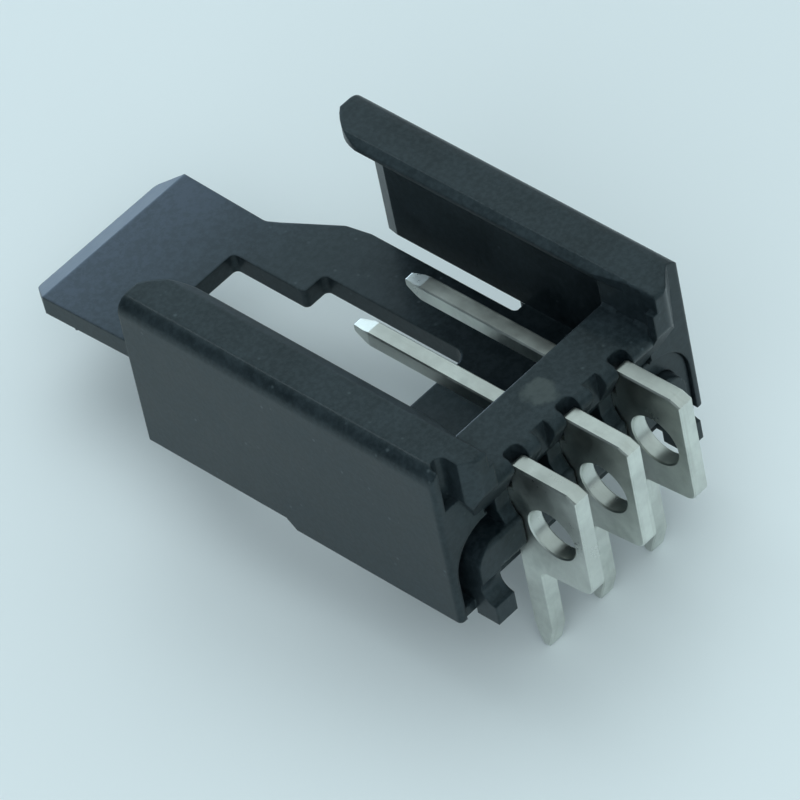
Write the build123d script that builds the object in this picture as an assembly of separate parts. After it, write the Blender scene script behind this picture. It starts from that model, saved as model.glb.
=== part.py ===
from build123d import *
import os

os.makedirs("parts", exist_ok=True)

# Frame, in mm: X across the row, -Y the mating side, Z up from the two feet,
# origin under the middle terminal's tail.

# Row of terminals, cut from square stock
PITCH = 2.54
WAYS = 3
STOCK = 0.64
COIN = 0.05

# Blade, centred on the cavity height
BLADE_Z = 3.775
BLADE_TIP_Y = -9.72
TIP_LENGTH = 0.8
TIP_DROP = 0.16

# Lobe behind the housing, with its round hole
LOBE_FRONT = -0.15
LOBE_REAR = 2.78
LOBE_TOP = 5.305
LOBE_BOTTOM = 0.61
HOLE_Y = 1.33
HOLE_Z = 2.805
HOLE_R = 0.98

# Solder tail
TAIL_FRONT = -0.42
TAIL_REAR = 0.43
TAIL_END = -3.315
TAIL_TAPER = 0.95

# Housing side walls
WALL_OUT = 6.0
WALL_THICK = 0.5
WALL_FRONT = -14.34
WALL_REAR = -0.26
WALL_TOP = 7.3
WALL_LOW_FRONT = 0.765
WALL_LOW_REAR = 0.405
WALL_ROUND = 0.18
WALL_IN = WALL_OUT - WALL_THICK
WALL_BITE = WALL_IN + 0.02
KNIFE_WIDE = 0.4
KNIFE_LONG = 0.86
KNIFE_HIGH = 0.5

# Rolled-in lip along the top of each wall
LIP_IN = 3.88
LIP_EDGE = 0.35
LIP_ROOT = 6.0
LIP_ROUND = 0.6
SWEEP_WIDE = 1.07
SWEEP_LONG = 1.72

# Upright notch in the rear end of the +X lip
NOTCH_X = WALL_OUT - 0.64
NOTCH_WIDE = 0.6
NOTCH_FRONT = -0.72
NOTCH_LOW = 5.45

# Floor plate and the tongue it runs out into
PLATE_TOP = 1.26
PLATE_LOW = 0.475
PLATE_REAR = -0.72
SILL_LOW = 0.25
SILL_TOP = 0.65
SLOT_WIDE = 0.47
PLATE_HALF = WALL_IN - SLOT_WIDE
PLATE_HALF_FRONT = PLATE_HALF - 0.2
SLOT_REAR = -7.62
TONGUE_FRONT = -22.64
BEVEL_LONG = 0.94
BEVEL_DROP = 0.56
TIP_HALF = 2.94
HEAD_HALF = 3.55
NECK_HALF = 3.44
NECK_Y = -17.76
SHOULDER_HALF = 3.68
SHOULDER_Y = -17.28
TAPER_Y = -15.27
STUB_Y = -20.32
STUB_R = 0.08

# Window through the tongue
WINDOW_FRONT = -17.61
WINDOW_STEP = -14.28
WINDOW_REAR = -7.66
WINDOW_NARROW = 1.675
WINDOW_WIDE = 2.674
WINDOW_ROUND = 0.2

# Bridge that holds the terminals
BRIDGE_FRONT = -2.19
BRIDGE_REAR = 0.45
BRIDGE_FOOT = -0.45
BRIDGE_TOP = 5.605
BRIDGE_HALF = 4.1
SLIT_GAP = 0.04
SLIT_FRONT = -0.37

# Cheek at each end of the bridge, filling up under the lip, with a post and two ledges
CHEEK_SWEEP = WALL_OUT - 0.58
CHEEK_FLAT = BRIDGE_HALF + (CHEEK_SWEEP - BRIDGE_HALF) * 0.4
CHEEK_TOE = BRIDGE_HALF + 0.26
CHEEK_KNEE = 6.3
CHEEK_FRONT = WALL_REAR - 0.5
LIP_EASE = 1.2
POST_WIDE = 0.22
POST_LONG = 0.35
POST_TOP = 6.6
LEDGE = 0.12
LEDGE_LONG = 0.65
LEDGE_STARTS = (-2.12, -0.71)

# Arched recess in the back and the bar with two legs standing in it
ARCH_TOP = 3.9
ARCH_HALF = WALL_OUT - 0.3
ARCH_ROUND = 1.6
ARCH_DEEP = 1.0
BAR_TOP = 3.02
BAR_LOW = 1.57
BAR_REAR = 0.1
LEG_IN = 4.17
LEG_OUT = 5.06
FOOT_FRONT = -0.47
FOOT_REAR = 0.48
FOOT_HIGH = 0.805
HOLLOW_Z = 1.205
RIB_HALF = 0.95


def outline(corners):
    # closed face through (u, v, radius) corners, arcs tangent to both sides
    edges = []
    ends = []
    for i, (u, v, r) in enumerate(corners):
        here = Vector(u, v)
        before = Vector(*corners[i - 1][:2])
        after = Vector(*corners[(i + 1) % len(corners)][:2])
        if r == 0:
            ends.append((here, here))
            continue
        back = (before - here).normalized()
        ahead = (after - here).normalized()
        half = (back + ahead).normalized()
        cosine = half.dot(ahead)
        sine = (1 - cosine**2) ** 0.5
        reach = r * cosine / sine
        middle = here + half * (r / sine - r)
        first = here + back * reach
        last = here + ahead * reach
        edges.append(ThreePointArc(first, middle, last))
        ends.append((first, last))
    for i in range(len(ends)):
        start = ends[i - 1][1]
        stop = ends[i][0]
        if (stop - start).length > 1e-6:
            edges.append(Line(start, stop))
    return make_face(edges)


def over(face, z0, z1):
    # plan outline raised from z0 to z1
    return extrude(Plane.XY.offset(z0) * face, amount=z1 - z0)


def through(face, y0, y1):
    # X-Z outline drawn out from y0 to y1
    return extrude(Plane.XZ.offset(-y1) * face, amount=y1 - y0)


def across(face, x0, x1):
    # Y-Z outline drawn out from x0 to x1
    return extrude(Plane.YZ.offset(x0) * face, amount=x1 - x0)


def box(x0, x1, y0, y1, z0, z1):
    return Pos((x0 + x1) / 2, (y0 + y1) / 2, (z0 + z1) / 2) * Box(x1 - x0, y1 - y0, z1 - z0)


def both(shape):
    # the shape and its mirror image over the middle plane
    return shape + mirror(shape, about=Plane.YZ)


# One terminal: tail, lobe and shank from one flat outline
blade_low = BLADE_Z - STOCK / 2
blade_top = BLADE_Z + STOCK / 2
shank_y = BLADE_TIP_Y + TIP_LENGTH
flat = outline([
    (BLADE_TIP_Y, blade_low + TIP_DROP, 0.08),
    (shank_y, blade_low, 0),
    (TAIL_FRONT, blade_low, 0),
    (TAIL_FRONT, TAIL_END + TAIL_TAPER, 0.3),
    (TAIL_FRONT + 0.24, TAIL_END, 0.1),
    (TAIL_REAR - 0.33, TAIL_END, 0.1),
    (TAIL_REAR, TAIL_END + TAIL_TAPER, 0.3),
    (TAIL_REAR, LOBE_BOTTOM - 0.12, 0.3),
    (LOBE_REAR, LOBE_BOTTOM + 0.12, 0.45),
    (LOBE_REAR, LOBE_TOP - 0.18, 0),
    (LOBE_REAR - 0.4, LOBE_TOP, 0),
    (LOBE_FRONT, LOBE_TOP, 0.25),
    (LOBE_FRONT, blade_top, 0),
    (shank_y, blade_top, 0),
    (BLADE_TIP_Y, blade_top - TIP_DROP, 0.08),
])
hole = Pos(HOLE_Y, HOLE_Z) * Circle(HOLE_R)
pressed = across(flat - hole, -STOCK / 2, STOCK / 2)
rims = pressed.faces().sort_by(Axis.X)
pressed = chamfer(rims[0].edges() + rims[-1].edges(), COIN)
tip_side = outline([
    (STOCK / 2, shank_y, 0),
    (STOCK, shank_y, 0),
    (STOCK, BLADE_TIP_Y, 0),
    (STOCK / 2 - TIP_DROP, BLADE_TIP_Y, 0),
])
terminal = pressed - both(over(tip_side, blade_low, blade_top))

places = [(way - (WAYS - 1) / 2) * PITCH for way in range(WAYS)]
for number, place in enumerate(places, start=1):
    export_step(Pos(place, 0, 0) * terminal, f"parts/terminal_{number}.step")

# Side wall with its lip, drawn on +X
section = outline([
    (WALL_OUT, WALL_LOW_REAR, 0),
    (WALL_OUT, WALL_TOP, LIP_ROUND),
    (LIP_IN + LIP_EDGE, WALL_TOP, 0.25),
    (LIP_IN, WALL_TOP - LIP_EDGE / 2, 0),
    (LIP_IN, WALL_TOP - LIP_EDGE, 0.1),
    (WALL_IN, LIP_ROOT, 0.3),
    (WALL_IN, WALL_LOW_REAR, 0),
])
wall = through(section, WALL_FRONT, WALL_REAR)
step = outline([
    (WALL_FRONT - 1, 0, 0),
    (SLOT_REAR, 0, 0),
    (SLOT_REAR, WALL_LOW_REAR, 0),
    (SLOT_REAR - 0.42, WALL_LOW_FRONT, 0),
    (WALL_FRONT - 1, WALL_LOW_FRONT, 0),
])
wall -= across(step, WALL_IN - 1, WALL_OUT + 1)

# Lip corner swept back in plan, knife edge down the front and along the foot of the wall
sweep_x = LIP_IN + SWEEP_WIDE
sweep_y = WALL_FRONT + SWEEP_LONG
sweep_middle = (LIP_IN + SWEEP_WIDE / 3, WALL_FRONT + SWEEP_LONG * 0.44)
swept = make_face([
    ThreePointArc((sweep_x, WALL_FRONT), sweep_middle, (LIP_IN, sweep_y)),
    Line((LIP_IN, sweep_y), (LIP_IN - 1, sweep_y)),
    Line((LIP_IN - 1, sweep_y), (LIP_IN - 1, WALL_FRONT)),
    Line((LIP_IN - 1, WALL_FRONT), (sweep_x, WALL_FRONT)),
])
wall -= over(swept, LIP_ROOT - 1, WALL_TOP + 1)
knife = outline([
    (WALL_IN - 0.1, WALL_FRONT, 0),
    (WALL_IN + KNIFE_WIDE, WALL_FRONT, 0),
    (WALL_IN, WALL_FRONT + KNIFE_LONG, 0),
    (WALL_IN - 0.1, WALL_FRONT + KNIFE_LONG, 0),
])
wall -= over(knife, 0, LIP_ROOT - 0.2)
under = outline([
    (WALL_IN - 0.1, WALL_LOW_FRONT, 0),
    (WALL_IN + KNIFE_WIDE, WALL_LOW_FRONT, 0),
    (WALL_IN, WALL_LOW_FRONT + KNIFE_HIGH, 0),
    (WALL_IN - 0.1, WALL_LOW_FRONT + KNIFE_HIGH, 0),
])
wall -= through(under, WALL_FRONT, SLOT_REAR)

# Rounded rear corner, and the lip cut back beside the bridge
plan = outline([
    (LIP_IN - 1, WALL_FRONT, 0),
    (WALL_OUT, WALL_FRONT, 0),
    (WALL_OUT, WALL_REAR, WALL_ROUND),
    (LIP_IN - 1, WALL_REAR, 0),
])
wall &= over(plan, 0, WALL_TOP + 1)
eased = make_face(Polyline(
    (LIP_IN, BRIDGE_FRONT),
    (BRIDGE_HALF, BRIDGE_FRONT + LIP_EASE),
    (BRIDGE_HALF, WALL_REAR + 1),
    (LIP_IN - 1, WALL_REAR + 1),
    (LIP_IN - 1, BRIDGE_FRONT),
    close=True))
wall -= over(eased, LIP_ROOT - 1, WALL_TOP + 1)

# Floor plate, tongue and window
half_plan = [
    (PLATE_HALF, SLOT_REAR + 1, 0),
    (PLATE_HALF, WALL_FRONT + 0.1, 0.5),
    (PLATE_HALF_FRONT, TAPER_Y, 0.4),
    (SHOULDER_HALF, SHOULDER_Y, 0.5),
    (NECK_HALF, NECK_Y, 0.5),
    (HEAD_HALF, TONGUE_FRONT + BEVEL_LONG, 0),
    (TIP_HALF, TONGUE_FRONT, 0.3),
]
left_plan = [(-u, v, r) for u, v, r in reversed(half_plan)]
plate = over(outline(half_plan + left_plan), PLATE_LOW, PLATE_TOP)
plate += box(-WALL_BITE, WALL_BITE, SLOT_REAR, WALL_REAR - ARCH_DEEP, PLATE_LOW, PLATE_TOP)
plate += box(-LEG_OUT, LEG_OUT, SLOT_REAR, PLATE_REAR, PLATE_LOW, PLATE_TOP)

# Round ends of the two slots between floor and walls
slot_r = SLOT_WIDE / 2
slot_end = box(PLATE_HALF, WALL_IN, SLOT_REAR - slot_r, SLOT_REAR, PLATE_LOW, PLATE_TOP)
slot_end -= Pos(PLATE_HALF + slot_r, SLOT_REAR - slot_r, PLATE_TOP) * Cylinder(slot_r, 2 * PLATE_TOP)
plate += both(slot_end)

# Bevelled tip and the window
bevel = outline([
    (TONGUE_FRONT, PLATE_TOP - BEVEL_DROP, 0),
    (TONGUE_FRONT + BEVEL_LONG, PLATE_TOP, 0),
    (TONGUE_FRONT, PLATE_TOP, 0),
])
plate -= across(bevel, -WALL_OUT, WALL_OUT)
window = outline([
    (WINDOW_WIDE, WINDOW_REAR, 0.6),
    (WINDOW_WIDE, WINDOW_STEP, WINDOW_ROUND),
    (WINDOW_NARROW, WINDOW_STEP, WINDOW_ROUND),
    (WINDOW_NARROW, WINDOW_FRONT, WINDOW_ROUND),
    (-WINDOW_NARROW, WINDOW_FRONT, WINDOW_ROUND),
    (-WINDOW_NARROW, WINDOW_STEP, WINDOW_ROUND),
    (-WINDOW_WIDE, WINDOW_STEP, WINDOW_ROUND),
    (-WINDOW_WIDE, WINDOW_REAR, 0.6),
])
plate -= over(window, PLATE_LOW - 1, PLATE_TOP + 1)

# Bridge between the walls, undercut at the back
cross = outline([
    (BRIDGE_FRONT, PLATE_LOW, 0),
    (BRIDGE_FRONT, BRIDGE_TOP, 0.1),
    (BRIDGE_REAR, BRIDGE_TOP, 0.35),
    (BRIDGE_FOOT, ARCH_TOP, 0),
    (WALL_REAR - ARCH_DEEP, ARCH_TOP, 0),
    (WALL_REAR - ARCH_DEEP, PLATE_LOW, 0),
])
bridge = across(cross, -BRIDGE_HALF, BRIDGE_HALF)
web = box(BRIDGE_HALF - 0.1, WALL_BITE, CHEEK_FRONT, WALL_REAR, PLATE_LOW, ARCH_TOP + 0.1)

# Cheek from the bridge up to the lip, its rear swept round to the end of the wall,
# and a short post at its inner corner
cheek = box(BRIDGE_HALF, WALL_BITE, BRIDGE_FRONT, WALL_REAR, ARCH_TOP, LIP_ROOT + 0.9)
cheek_front = outline([
    (BRIDGE_HALF, ARCH_TOP, 0),
    (CHEEK_TOE, ARCH_TOP, 0),
    (CHEEK_SWEEP, CHEEK_KNEE, 0.3),
    (CHEEK_SWEEP, WALL_TOP, 0),
    (BRIDGE_HALF, WALL_TOP, 0.1),
])
cheek_plan = outline([
    (BRIDGE_HALF, CHEEK_FRONT, 0),
    (CHEEK_SWEEP + 0.2, CHEEK_FRONT, 0),
    (CHEEK_SWEEP + 0.2, WALL_REAR, 0),
    (CHEEK_SWEEP, WALL_REAR, 0.4),
    (CHEEK_FLAT, BRIDGE_REAR, 0.45),
    (BRIDGE_HALF, BRIDGE_REAR, 0),
])
cheek_side = outline([
    (CHEEK_FRONT, ARCH_TOP, 0),
    (BRIDGE_FOOT, ARCH_TOP, 0),
    (BRIDGE_REAR, BRIDGE_TOP, 0.3),
    (BRIDGE_REAR, WALL_TOP, 0.15),
    (CHEEK_FRONT, WALL_TOP, 0),
])
side = across(cheek_side, 0, WALL_OUT)
cheek += through(cheek_front, CHEEK_FRONT, BRIDGE_REAR) & over(cheek_plan, 0, WALL_TOP + 1) & side
post = box(BRIDGE_HALF - POST_WIDE, BRIDGE_HALF, BRIDGE_REAR - POST_LONG, BRIDGE_REAR, ARCH_TOP, POST_TOP)
bridge += both(web + cheek + (post & side))

# Two short ledges along each end of the bridge
ledge = outline([
    (BRIDGE_HALF - LEDGE, BRIDGE_TOP, 0),
    (BRIDGE_HALF, BRIDGE_TOP, 0),
    (BRIDGE_HALF, BRIDGE_TOP + LEDGE, 0),
])
for start in LEDGE_STARTS:
    bridge += both(through(ledge, start, start + LEDGE_LONG))

# Arched recess across the back
arch = outline([
    (-ARCH_HALF, 0, 0),
    (ARCH_HALF, 0, 0),
    (ARCH_HALF, ARCH_TOP, ARCH_ROUND),
    (-ARCH_HALF, ARCH_TOP, ARCH_ROUND),
])
recess = through(arch, WALL_REAR - ARCH_DEEP, BAR_REAR + 1)

# Upright notch, in the +X lip only
notch_plan = outline([
    (NOTCH_X - NOTCH_WIDE / 2, WALL_REAR + 1, 0),
    (NOTCH_X - NOTCH_WIDE / 2, NOTCH_FRONT, NOTCH_WIDE / 2 - 0.01),
    (NOTCH_X + NOTCH_WIDE / 2, NOTCH_FRONT, NOTCH_WIDE / 2 - 0.01),
    (NOTCH_X + NOTCH_WIDE / 2, WALL_REAR + 1, 0),
])
housing = both(wall) + bridge - recess - over(notch_plan, NOTCH_LOW, WALL_TOP + 1)

# Bar across the recess, rounded over at both ends, front to back
bar_ends = outline([
    (-LEG_OUT, 0, 0),
    (LEG_OUT, 0, 0),
    (LEG_OUT, BAR_TOP, 0.75),
    (-LEG_OUT, BAR_TOP, 0.75),
])
bar_side = outline([
    (BRIDGE_FRONT, PLATE_LOW, 0),
    (PLATE_REAR, PLATE_LOW, 0),
    (PLATE_REAR, BAR_LOW, 0),
    (BAR_REAR, BAR_LOW, 0.3),
    (BAR_REAR, BAR_TOP, 0.15),
    (BRIDGE_FRONT, BAR_TOP, 0),
])
bar = through(bar_ends, BRIDGE_FRONT, BAR_REAR) & across(bar_side, -LEG_OUT, LEG_OUT)

# Two legs with hooked feet under the ends of the bar
leg_side = make_face([
    Line((BRIDGE_FRONT, BAR_LOW + 0.4), (BRIDGE_FRONT, PLATE_LOW)),
    Line((BRIDGE_FRONT, PLATE_LOW), (FOOT_FRONT, PLATE_LOW)),
    Line((FOOT_FRONT, PLATE_LOW), (FOOT_FRONT, 0)),
    Line((FOOT_FRONT, 0), (FOOT_REAR, 0)),
    Line((FOOT_REAR, 0), (FOOT_REAR, FOOT_HIGH)),
    ThreePointArc((FOOT_REAR, FOOT_HIGH), (0, HOLLOW_Z), (BAR_REAR, BAR_LOW + 0.1)),
    Line((BAR_REAR, BAR_LOW + 0.1), (BAR_REAR, BAR_LOW + 0.4)),
    Line((BAR_REAR, BAR_LOW + 0.4), (BRIDGE_FRONT, BAR_LOW + 0.4)),
])
housing += bar + both(across(leg_side, LEG_IN, LEG_OUT)) + plate
sill = box(LEG_OUT - 0.1, WALL_IN + 0.2, WALL_REAR - ARCH_DEEP - 0.1, FOOT_FRONT, SILL_LOW, SILL_TOP)
housing += both(sill)

# Ribs beside each terminal slit, then the slits, square holes and tail openings
slit_half = STOCK / 2 + SLIT_GAP
rib = outline([
    (WALL_REAR - ARCH_DEEP, ARCH_TOP + 0.2, 0),
    (BRIDGE_FOOT + 0.09, ARCH_TOP + 0.2, 0),
    (-0.35, BAR_TOP + 0.5, 0.2),
    (BAR_REAR - 0.1, BAR_TOP - 0.1, 0),
    (BAR_REAR - 0.1, BAR_TOP - 0.3, 0),
    (WALL_REAR - ARCH_DEEP, BAR_TOP - 0.3, 0),
])
slit_plan = outline([
    (-slit_half, 1, 0),
    (-slit_half, SLIT_FRONT, 0.25),
    (slit_half, SLIT_FRONT, 0.25),
    (slit_half, 1, 0),
])
for place in places:
    housing += across(rib, place - RIB_HALF, place + RIB_HALF)
for place in places:
    slit = over(slit_plan, 0, BRIDGE_TOP + 1)
    slit += box(-slit_half, slit_half, TAIL_FRONT - SLIT_GAP, 1, 0, blade_low)
    slit += box(-STOCK / 2, STOCK / 2, BRIDGE_FRONT - 1, 0, blade_low, blade_top)
    housing -= Pos(place, 0, 0) * slit

# Grooves down the back between neighbouring terminals
groove_half = PITCH / 2 - RIB_HALF
for place in places[1:]:
    middle = place - PITCH / 2
    housing -= box(middle - groove_half, middle + groove_half, -0.25, 1, ARCH_TOP - 0.3, BRIDGE_TOP + 1)

# Gate stub left under the +X edge of the tongue
stub_share = (NECK_Y - STUB_Y) / (NECK_Y - TONGUE_FRONT - BEVEL_LONG)
stub_x = NECK_HALF + (HEAD_HALF - NECK_HALF) * stub_share - STUB_R
housing += Pos(stub_x, STUB_Y, PLATE_LOW) * Cylinder(STUB_R, 0.12)

export_step(housing, "parts/housing.step")
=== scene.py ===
import math

import bmesh
import bpy
from mathutils import Matrix, Vector


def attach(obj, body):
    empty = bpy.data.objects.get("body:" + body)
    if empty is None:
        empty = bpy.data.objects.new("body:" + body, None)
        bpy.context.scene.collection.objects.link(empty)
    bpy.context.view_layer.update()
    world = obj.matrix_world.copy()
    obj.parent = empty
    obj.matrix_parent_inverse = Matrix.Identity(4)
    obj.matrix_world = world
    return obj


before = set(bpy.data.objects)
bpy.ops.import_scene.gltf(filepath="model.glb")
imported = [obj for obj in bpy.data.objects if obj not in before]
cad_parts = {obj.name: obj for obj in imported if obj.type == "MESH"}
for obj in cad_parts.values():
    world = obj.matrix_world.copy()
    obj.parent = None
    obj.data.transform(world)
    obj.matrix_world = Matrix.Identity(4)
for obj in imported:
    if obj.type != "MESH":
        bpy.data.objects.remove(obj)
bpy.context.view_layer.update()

# Floor, with lengths and places in metres in this script
FLOOR_Z = -0.0034
FLOOR_SIZE = 3.0
FLOOR_COLOUR = (0.795, 0.845, 0.865)
FLECK_SHADE = 0.985

# Sky colours, the directions in which it is dim, and the cosines between which it dims
SKY_COLOUR = (0.58, 0.69, 0.71)
SKY_DIM = (0.13, 0.16, 0.18)
DIM_SIDE = (0.76, -0.60, 0.25)
DIM_SIDE_FADE = (0.35, 0.9)
DOWN = (0, 0, -1)
HORIZON_FADE = (-0.42, 0.0)

# Lamps: name, place, aim, width and height, radiance
MIDDLE = (0, -0.008, 0)
SOFT_LAMPS = (
    ("overhead", (-0.05, -0.095, 0.26), MIDDLE, (0.22, 0.22), (1.06, 1.18, 1.21)),
    ("fill", (0.13, 0.12, 0.15), MIDDLE, (0.20, 0.20), (1.52, 1.68, 1.73)),
)
GLOSS_LAMPS = (
    ("low_panel", (-0.02, -0.06, 0.006), (-0.02, 0, 0.006), (0.05, 0.018), (2.2, 2.9, 3.8)),
    ("high_panel", (-0.02, -0.06, 0.029), (-0.02, 0, 0.029), (0.05, 0.028), (0.75, 0.95, 1.1)),
    ("glint", (-0.006, -0.18, 0.26), MIDDLE, (0.02, 0.10), (3.6, 4.0, 4.2)),
)

# Camera, with lens and sensor in millimetres
CAMERA_AT = (0.117224, 0.138347, 0.188724)
CAMERA_RIGHT = (-0.668061, 0.728391, -0.152120)
CAMERA_UP = (-0.599056, -0.405209, 0.690606)
CAMERA_AHEAD = (-0.441391, -0.552496, -0.707052)
LENS = 360.558
SENSOR = 36.0
NEAREST = 0.01
FARTHEST = 10.0

# Housing plastic
PLASTIC_DARK = (0.0012, 0.0036, 0.0056)
PLASTIC_PALE = (0.0190, 0.0270, 0.0325)
FIBRE_COLOUR = (0.075, 0.095, 0.105)
FIBRE_SHARE = 0.6
GRAIN_SHARE = 0.5
CLOUD_SHARE = 0.5
GRAIN_ROUGHNESS = 0.14
GRAIN_HEIGHT = 0.000012
EDGE_SOFTNESS = 0.00012

# Painted reflection on the top of the tongue: a pale bluish colour from its front end to where it
# fades out, and a paler one on its front bevel
PAINTED_TIP_REFLECTION = (0.046, 0.060, 0.088)
PAINTED_REFLECTION_HEIGHT = (0.0020, 0.0026)
TIP_FRONT = -0.0228
TIP_REAR = -0.0150
# painted reflection: the pale bluish colour of the tongue's front bevel
PAINTED_BEVEL_REFLECTION = (0.064, 0.084, 0.120)
BEVEL_FRONT = -0.02175
BEVEL_REAR = -0.02155

# Ejector mark on the bridge, with a rim that noise moves
EJECTOR_AT = (0.00008, -0.00120, 0.005605)
EJECTOR_R = 0.00062
RIM_WANDER = 0.0008
RIM_START = EJECTOR_R + 0.00022
RIM_END = EJECTOR_R + 0.00046
MARK_COLOUR = (0.052, 0.062, 0.060)
MARK_HEIGHT_SHARE = 0.8

# Tin plate of the terminals
TIN_DARK = (0.57, 0.59, 0.555)
TIN_PALE = (0.74, 0.77, 0.72)
STREAK_COLOUR = (0.50, 0.51, 0.46)
STREAK_STRETCH = (6.0, 1.0, 0.35)
STREAK_SHARE = 0.3
STAIN_COLOUR = (0.42, 0.45, 0.42)
STAIN_SHARE = 0.4
FINE_ROUGHNESS = 0.12
FINE_SHARE = 0.6
TIN_HEIGHT = 0.000006

# Infill of the recess on the -X side, beside and over the end of the bar
ARCH_HALF = 0.0057
ARCH_TOP = 0.0039
ARCH_ROUND = 0.0016
BAR_TOP = 0.00302
BAR_ROUND = 0.00075
LEG_OUT = 0.00506
SILL_TOP = 0.00065
RIB_OUT = 0.00349
RECESS_BACK = -0.00126
INFILL_REAR = -0.00040
INFILL_GAP = 0.00001
INFILL_ROUND = 0.00006


class Nodes:
    """Short names for building one material's node tree."""

    def __init__(self, name):
        self.material = bpy.data.materials.new(name)
        self.material.use_nodes = True
        self.tree = self.material.node_tree
        self.shader = self.tree.nodes["Principled BSDF"]
        coords = self.tree.nodes.new("ShaderNodeTexCoord")
        self.place = coords.outputs["Object"]
        self.normal = coords.outputs["Normal"]

    def put(self, value, socket):
        if isinstance(value, bpy.types.NodeSocket):
            self.tree.links.new(value, socket)
        else:
            socket.default_value = value

    def math(self, operation, *values):
        node = self.tree.nodes.new("ShaderNodeMath")
        node.operation = operation
        for value, socket in zip(values, node.inputs):
            self.put(value, socket)
        return node.outputs[0]

    def noise(self, scale, detail=4.0, rough=0.55, stretch=None):
        where = self.place
        if stretch:
            mapping = self.tree.nodes.new("ShaderNodeMapping")
            mapping.inputs["Scale"].default_value = stretch
            self.put(where, mapping.inputs["Vector"])
            where = mapping.outputs["Vector"]
        node = self.tree.nodes.new("ShaderNodeTexNoise")
        self.put(where, node.inputs["Vector"])
        node.inputs["Scale"].default_value = scale
        node.inputs["Detail"].default_value = detail
        node.inputs["Roughness"].default_value = rough
        return node.outputs["Fac"]

    def specks(self, scale, radius):
        node = self.tree.nodes.new("ShaderNodeTexVoronoi")
        self.put(self.place, node.inputs["Vector"])
        node.inputs["Scale"].default_value = scale
        return self.fade(node.outputs["Distance"], 0.0, radius)

    def ramp(self, value, low, high, start=0.0, stop=1.0):
        node = self.tree.nodes.new("ShaderNodeMapRange")
        node.interpolation_type = "SMOOTHSTEP"
        self.put(value, node.inputs["Value"])
        node.inputs["From Min"].default_value = low
        node.inputs["From Max"].default_value = high
        node.inputs["To Min"].default_value = start
        node.inputs["To Max"].default_value = stop
        return node.outputs["Result"]

    def fade(self, value, low, high):
        # 1 up to low, and 0 from high on
        return self.ramp(value, low, high, start=1.0, stop=0.0)

    def mix(self, factor, first, second):
        node = self.tree.nodes.new("ShaderNodeMix")
        node.data_type = "RGBA"
        self.put(factor, node.inputs["Factor"])
        for value, key in ((first, "A"), (second, "B")):
            sockets = [s for s in node.inputs if s.name == key and s.type == "RGBA"]
            self.put(value if isinstance(value, bpy.types.NodeSocket) else (*value, 1.0), sockets[0])
        return [s for s in node.outputs if s.type == "RGBA"][0]

    def distance(self, centre):
        node = self.tree.nodes.new("ShaderNodeVectorMath")
        node.operation = "DISTANCE"
        self.put(self.place, node.inputs[0])
        node.inputs[1].default_value = centre
        return node.outputs["Value"]

    def part_of(self, vector, axis):
        node = self.tree.nodes.new("ShaderNodeSeparateXYZ")
        self.put(vector, node.inputs[0])
        return node.outputs[axis]

    def soften(self, radius):
        # the surface's normal, rounded over its edges
        node = self.tree.nodes.new("ShaderNodeBevel")
        node.inputs["Radius"].default_value = radius
        return node.outputs["Normal"]

    def bump(self, height, distance, strength, normal=None):
        node = self.tree.nodes.new("ShaderNodeBump")
        if normal:
            self.put(normal, node.inputs["Normal"])
        node.inputs["Strength"].default_value = strength
        node.inputs["Distance"].default_value = distance
        self.put(height, node.inputs["Height"])
        self.put(node.outputs["Normal"], self.shader.inputs["Normal"])

    def set(self, **values):
        for key, value in values.items():
            self.put(value, self.shader.inputs[key.replace("_", " ")])


# Housing plastic, from its mottled black to the painted reflection on the tongue and the mark on it
def mottling(n, cloud, grain):
    broad = n.math("MULTIPLY", n.ramp(cloud, low=0.3, high=0.7), CLOUD_SHARE)
    return n.math("MULTIPLY_ADD", n.ramp(grain, low=0.36, high=0.66), GRAIN_SHARE, broad)


def fibres(n):
    patches = n.ramp(n.noise(scale=1100.0, detail=2.0), low=0.54, high=0.64)
    flecks = n.math("MULTIPLY", n.specks(scale=2300.0, radius=0.22), patches)
    return n.math("MULTIPLY", flecks, FIBRE_SHARE)


def tongue_painted_reflection(n, mottle, tone):
    # painted reflection: upward faces of the tongue below a height turn pale and bluish toward the
    # tip, and paler still on the front bevel
    along = n.part_of(n.place, "Y")
    up = n.ramp(n.part_of(n.normal, "Z"), low=0.3, high=0.6)
    low = n.math("MULTIPLY", up, n.fade(n.part_of(n.place, "Z"), *PAINTED_REFLECTION_HEIGHT))
    low = n.math("MULTIPLY", low, n.ramp(mottle, low=0.1, high=0.9, start=0.72, stop=1.12))
    tip = n.math("MULTIPLY", low, n.fade(along, TIP_FRONT, TIP_REAR))
    edge = n.math("MULTIPLY", low, n.fade(along, BEVEL_FRONT, BEVEL_REAR))
    return n.mix(edge, n.mix(tip, tone, PAINTED_TIP_REFLECTION), PAINTED_BEVEL_REFLECTION)


def ejector_mark(n):
    rim = n.math("MULTIPLY_ADD", n.noise(scale=1500.0, detail=3.0), RIM_WANDER, n.distance(EJECTOR_AT))
    return n.fade(rim, RIM_START, RIM_END)


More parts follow.
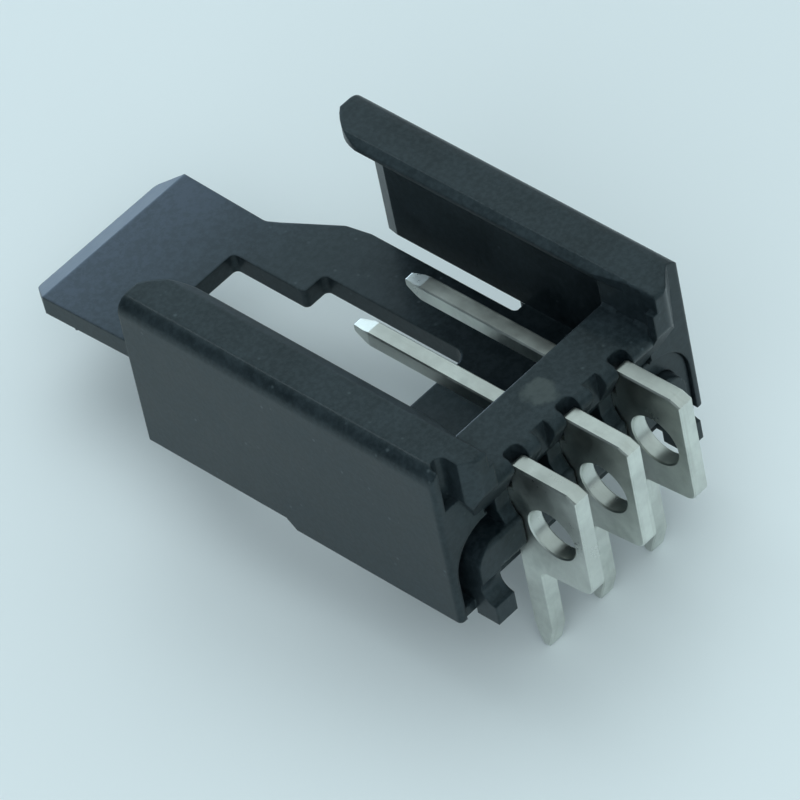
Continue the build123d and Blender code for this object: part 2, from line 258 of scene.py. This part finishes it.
def plastic():
    n = Nodes("moulded_plastic")
    cloud = n.noise(scale=420.0, detail=5.0, rough=0.6)
    grain = n.noise(scale=5200.0, detail=4.0, rough=0.65)
    mottle = mottling(n, cloud, grain)
    tone = n.mix(mottle, PLASTIC_DARK, PLASTIC_PALE)
    tone = n.mix(fibres(n), tone, FIBRE_COLOUR)
    # painted reflection on the top of the tongue
    tone = tongue_painted_reflection(n, mottle, tone)
    mark = ejector_mark(n)
    wear = n.ramp(n.noise(scale=2600.0, detail=3.0), low=0.2, high=0.62, start=0.35, stop=0.8)
    tone = n.mix(n.math("MULTIPLY", mark, wear), tone, MARK_COLOUR)
    n.set(Base_Color=tone)
    broad = n.ramp(cloud, low=0.25, high=0.75, start=0.36, stop=0.48)
    n.set(Roughness=n.math("MULTIPLY_ADD", grain, GRAIN_ROUGHNESS, broad))
    n.set(IOR=1.55)
    n.set(Specular_IOR_Level=0.29)
    n.set(Specular_Tint=(0.70, 0.96, 1.0, 1.0))
    n.set(Coat_Weight=0.22)
    n.set(Coat_Roughness=0.16)
    height = n.math("MULTIPLY_ADD", mark, MARK_HEIGHT_SHARE, grain)
    n.bump(height, distance=GRAIN_HEIGHT, strength=0.5, normal=n.soften(EDGE_SOFTNESS))
    return n.material


# Tin plate, with clouds, stains and streaks drawn out along Z
def tin():
    n = Nodes("tin_plate")
    cloud = n.noise(scale=620.0, detail=5.0, rough=0.6)
    stain = n.noise(scale=700.0, detail=3.0, rough=0.6)
    streak = n.noise(scale=900.0, detail=4.0, rough=0.6, stretch=STREAK_STRETCH)
    fine = n.noise(scale=8000.0, detail=3.0, rough=0.6)
    streaked = n.math("MULTIPLY", n.ramp(streak, low=0.52, high=0.7), STREAK_SHARE)
    stained = n.math("MULTIPLY", n.ramp(stain, low=0.52, high=0.72), STAIN_SHARE)
    tone = n.mix(n.ramp(cloud, low=0.35, high=0.7), TIN_DARK, TIN_PALE)
    tone = n.mix(streaked, tone, STREAK_COLOUR)
    tone = n.mix(stained, tone, STAIN_COLOUR)
    n.set(Base_Color=tone)
    n.set(Metallic=1.0)
    broad = n.ramp(cloud, low=0.3, high=0.7, start=0.22, stop=0.34)
    n.set(Roughness=n.math("MULTIPLY_ADD", fine, FINE_ROUGHNESS, broad))
    n.bump(n.math("MULTIPLY_ADD", fine, FINE_SHARE, streak), distance=TIN_HEIGHT, strength=0.3)
    return n.material


# The CAD's four pieces take their materials
def paint(node, material):
    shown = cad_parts[node]
    for index in range(len(shown.material_slots)):
        shown.material_slots[index].material = material


housing_look = plastic()
terminal_look = tin()
paint("housing", housing_look)
for way in (1, 2, 3):
    paint(f"terminal_{way}", terminal_look)


# Recess infill
def arc(x, z, radius, start, stop, steps=10):
    # points of an arc in the X-Z plane, angles in degrees
    turns = [math.radians(start + (stop - start) * i / steps) for i in range(steps + 1)]
    return [(x + radius * math.cos(turn), z + radius * math.sin(turn)) for turn in turns]


def infill_outline(gap):
    outer = arc(ARCH_ROUND - ARCH_HALF, ARCH_TOP - ARCH_ROUND, ARCH_ROUND - gap, 180, 90)
    inner = arc(BAR_ROUND - LEG_OUT, BAR_TOP - BAR_ROUND, BAR_ROUND + gap, 90, 180)
    return [
        (gap - ARCH_HALF, SILL_TOP + gap),
        *outer,
        (-RIB_OUT - gap, ARCH_TOP - gap),
        (-RIB_OUT - gap, BAR_TOP + gap),
        *inner,
        (-LEG_OUT - gap, SILL_TOP + gap),
    ]


def infill():
    shape = bmesh.new()
    rear_of_back = RECESS_BACK + INFILL_GAP
    ring = [shape.verts.new((x, rear_of_back, z)) for x, z in infill_outline(INFILL_GAP)]
    back = shape.faces.new(ring)
    front = bmesh.ops.extrude_face_region(shape, geom=[back])["geom"]
    moved = [item for item in front if isinstance(item, bmesh.types.BMVert)]
    bmesh.ops.translate(shape, verts=moved, vec=(0, INFILL_REAR - RECESS_BACK, 0))
    bmesh.ops.recalc_face_normals(shape, faces=shape.faces)
    mesh = bpy.data.meshes.new("recess_infill")
    shape.to_mesh(mesh)
    shape.free()
    piece = bpy.data.objects.new("recess_infill", mesh)
    bpy.context.collection.objects.link(piece)
    round_over = piece.modifiers.new("round_over", "BEVEL")
    round_over.width = INFILL_ROUND
    round_over.segments = 3
    mesh.materials.append(housing_look)
    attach(piece, "root")


infill()

# Floor
bpy.ops.mesh.primitive_plane_add(size=FLOOR_SIZE, location=(0, 0, FLOOR_Z))
floor = bpy.context.object
floor.name = "floor"
paper = Nodes("pale_paper")
fleck_colour = tuple(part * FLECK_SHADE for part in FLOOR_COLOUR)
paper.set(Base_Color=paper.mix(paper.noise(scale=60.0, detail=3.0), FLOOR_COLOUR, fleck_colour))
paper.set(Roughness=0.9)
floor.data.materials.append(paper.material)

# Sky: soft light from all round, dimmer toward the horizon and to one side
def facing(sky, heading, direction, cosines):
    # 0 to 1 as a ray turns from one cosine to another against a direction
    dot = sky.nodes.new("ShaderNodeVectorMath")
    dot.operation = "DOT_PRODUCT"
    dot.inputs[1].default_value = Vector(direction).normalized()
    sky.links.new(heading, dot.inputs[0])
    spread = sky.nodes.new("ShaderNodeMapRange")
    spread.interpolation_type = "SMOOTHSTEP"
    spread.inputs["From Min"].default_value = cosines[0]
    spread.inputs["From Max"].default_value = cosines[1]
    sky.links.new(dot.outputs["Value"], spread.inputs["Value"])
    return spread.outputs["Result"]


def studio():
    world = bpy.data.worlds.new("studio")
    bpy.context.scene.world = world
    world.use_nodes = True
    sky = world.node_tree
    sky.nodes.clear()
    heading = sky.nodes.new("ShaderNodeTexCoord").outputs["Generated"]
    dim = sky.nodes.new("ShaderNodeMath")
    dim.operation = "MAXIMUM"
    sky.links.new(facing(sky, heading, DIM_SIDE, DIM_SIDE_FADE), dim.inputs[0])
    sky.links.new(facing(sky, heading, DOWN, HORIZON_FADE), dim.inputs[1])
    # the mix node's colours are its inputs 6 and 7, and its blend is output 2
    tone = sky.nodes.new("ShaderNodeMix")
    tone.data_type = "RGBA"
    tone.inputs[6].default_value = (*SKY_COLOUR, 1.0)
    tone.inputs[7].default_value = (*SKY_DIM, 1.0)
    light = sky.nodes.new("ShaderNodeBackground")
    out = sky.nodes.new("ShaderNodeOutputWorld")
    sky.links.new(dim.outputs[0], tone.inputs["Factor"])
    sky.links.new(tone.outputs[2], light.inputs["Color"])
    sky.links.new(light.outputs[0], out.inputs["Surface"])


studio()


# Lamps: the soft ones light matt surfaces only, and the others show in gloss only
def softbox(name, at, aim, size, radiance, glossy=True, diffuse=True):
    # a flat lamp of the given radiance in red, green and blue
    lamp = bpy.data.lights.new(name, "AREA")
    lamp.shape = "RECTANGLE"
    lamp.size, lamp.size_y = size
    peak = max(radiance)
    lamp.energy = peak * math.pi * size[0] * size[1]
    lamp.color = [part / peak for part in radiance]
    holder = bpy.data.objects.new(name, lamp)
    holder.location = at
    holder.rotation_mode = "QUATERNION"
    holder.rotation_quaternion = (Vector(aim) - Vector(at)).to_track_quat("-Z", "Y")
    holder.visible_camera = False
    holder.visible_glossy = glossy
    holder.visible_diffuse = diffuse
    bpy.context.collection.objects.link(holder)


for lamp_row in SOFT_LAMPS:
    softbox(*lamp_row, glossy=False)
for lamp_row in GLOSS_LAMPS:
    softbox(*lamp_row, diffuse=False)

# Camera
lens = bpy.data.cameras.new("camera")
lens.lens = LENS
lens.sensor_width = SENSOR
lens.clip_start = NEAREST
lens.clip_end = FARTHEST
camera = bpy.data.objects.new("camera", lens)
columns = (Vector(CAMERA_RIGHT), Vector(CAMERA_UP), -Vector(CAMERA_AHEAD))
turn = Matrix(columns).transposed().to_4x4()
camera.matrix_world = Matrix.Translation(CAMERA_AT) @ turn
bpy.context.collection.objects.link(camera)
bpy.context.scene.camera = camera
bpy.context.scene.view_settings.view_transform = "Standard"
